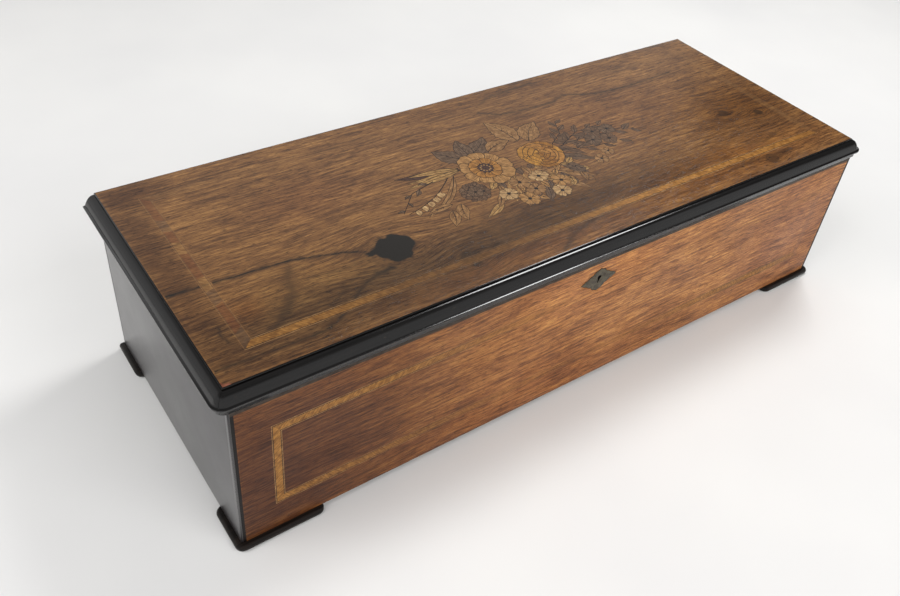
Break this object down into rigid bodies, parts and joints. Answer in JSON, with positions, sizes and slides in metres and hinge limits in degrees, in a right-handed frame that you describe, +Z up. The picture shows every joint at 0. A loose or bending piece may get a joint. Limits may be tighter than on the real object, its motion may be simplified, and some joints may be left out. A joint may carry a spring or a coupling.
{
  "type": "music box",
  "caption": "Long low inlaid wooden music box case with a hinged flat lid, dark moulded lid edge, keyhole plate and low corner feet; empty inside.",
  "frame": {"origin": "middle of the box in plan, on the surface its feet stand on", "axes": "+X along the length towards the box's right end as seen from the front, +Y towards the hinged back, +Z up; the keyhole faces -Y"},
  "size_m": [0.577, 0.217, 0.1423],
  "materials": {
    "veneer": "old French-polished figured veneer, satin to gloss, inlaid and banded",
    "ebonised_wood": "black ebonised wood, polished, with small chips",
    "bare_wood": "plain unpolished softwood",
    "plate_metal": "dark tarnished flat metal",
    "brass": "dulled brass"
  },
  "bodies": {
    "case": {"case_front": "veneer", "case_back": "ebonised_wood", "case_left_end": "ebonised_wood", "case_right_end": "ebonised_wood", "case_bottom": "bare_wood", "escutcheon": "plate_metal", "foot_front_left": "ebonised_wood", "foot_front_right": "ebonised_wood", "foot_back_left": "ebonised_wood", "foot_back_right": "ebonised_wood", "hinge_left_case_leaf": "brass", "hinge_left_pin": "brass", "hinge_right_case_leaf": "brass", "hinge_right_pin": "brass"},
    "lid": {"lid_panel": "veneer", "lid_moulding_front": "ebonised_wood", "lid_moulding_left": "ebonised_wood", "lid_moulding_right": "ebonised_wood", "hinge_left_lid_leaf": "brass", "hinge_right_lid_leaf": "brass"}
  },
  "joints": [
    {"name": "lid_hinge", "type": "hinge", "parent": "case", "child": "lid", "pos_m": [0, 0.106, 0.12725], "axis": [-1, 0, 0], "range_deg": [0, 100]}
  ]
}
